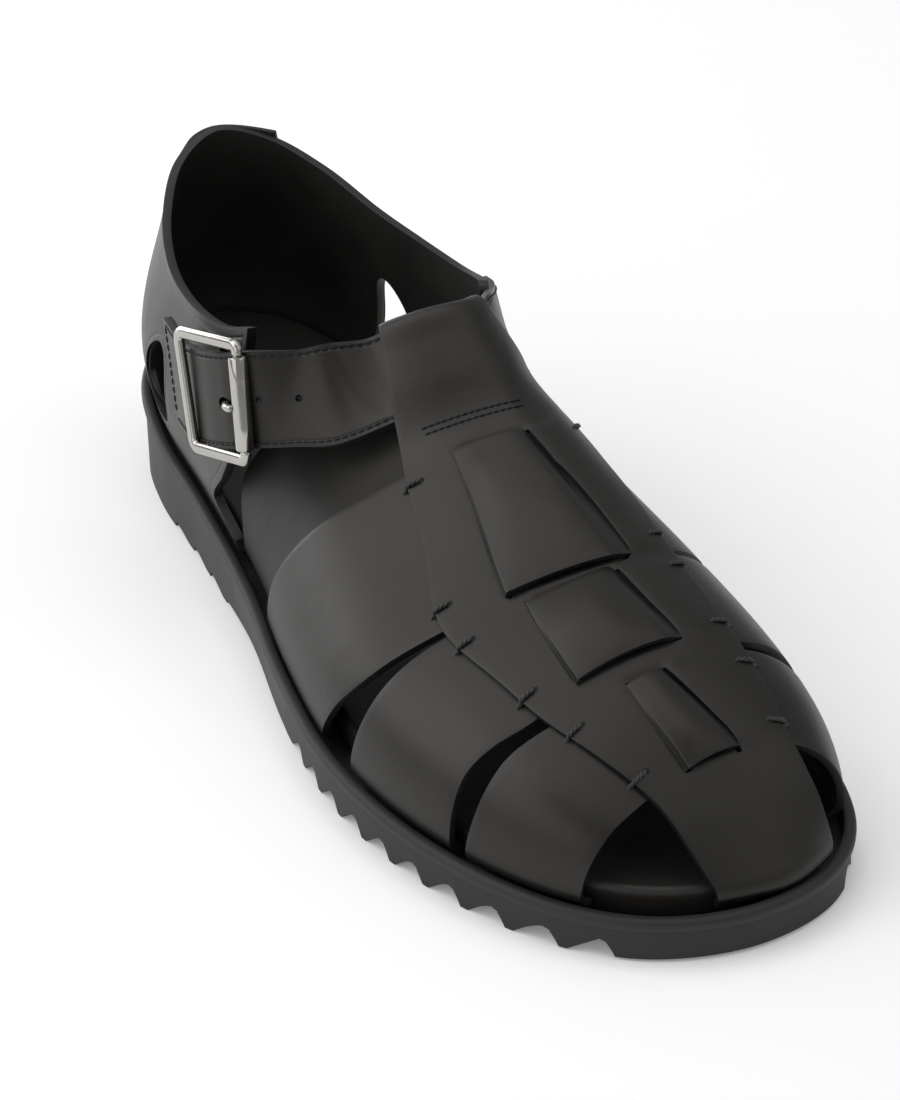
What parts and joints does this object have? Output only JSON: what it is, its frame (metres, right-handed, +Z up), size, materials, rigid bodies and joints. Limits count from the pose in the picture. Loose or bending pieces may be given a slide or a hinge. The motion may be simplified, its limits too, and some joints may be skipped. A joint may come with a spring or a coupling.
{
  "type": "woven sandal",
  "caption": "Right leather sandal with a woven closed-toe vamp, a cut-out heel cup, a buckled ankle strap through a loop and a sawtooth rubber sole.",
  "frame": {"origin": "centre of the bounding box's bottom face, on the floor under the sole", "axes": "+Z up, +Y towards the heel, the toe points along -Y, -X is the lateral (outer) side of this right shoe"},
  "size_m": [0.1076, 0.3034, 0.0924],
  "materials": {
    "rubber": "matte black moulded rubber",
    "leather": "smooth black leather with a soft satin sheen",
    "lining": "black leather lining, duller than the upper",
    "chrome": "polished metal"
  },
  "bodies": {
    "root": {"outsole": "rubber", "insole": "lining", "woven_vamp": "leather", "quarter": "leather", "heel_tab": "leather", "ankle_strap": "leather", "buckle_chape": "leather", "buckle_frame": "chrome", "buckle_roller": "chrome", "buckle_prong": "chrome"}
  },
  "joints": []
}
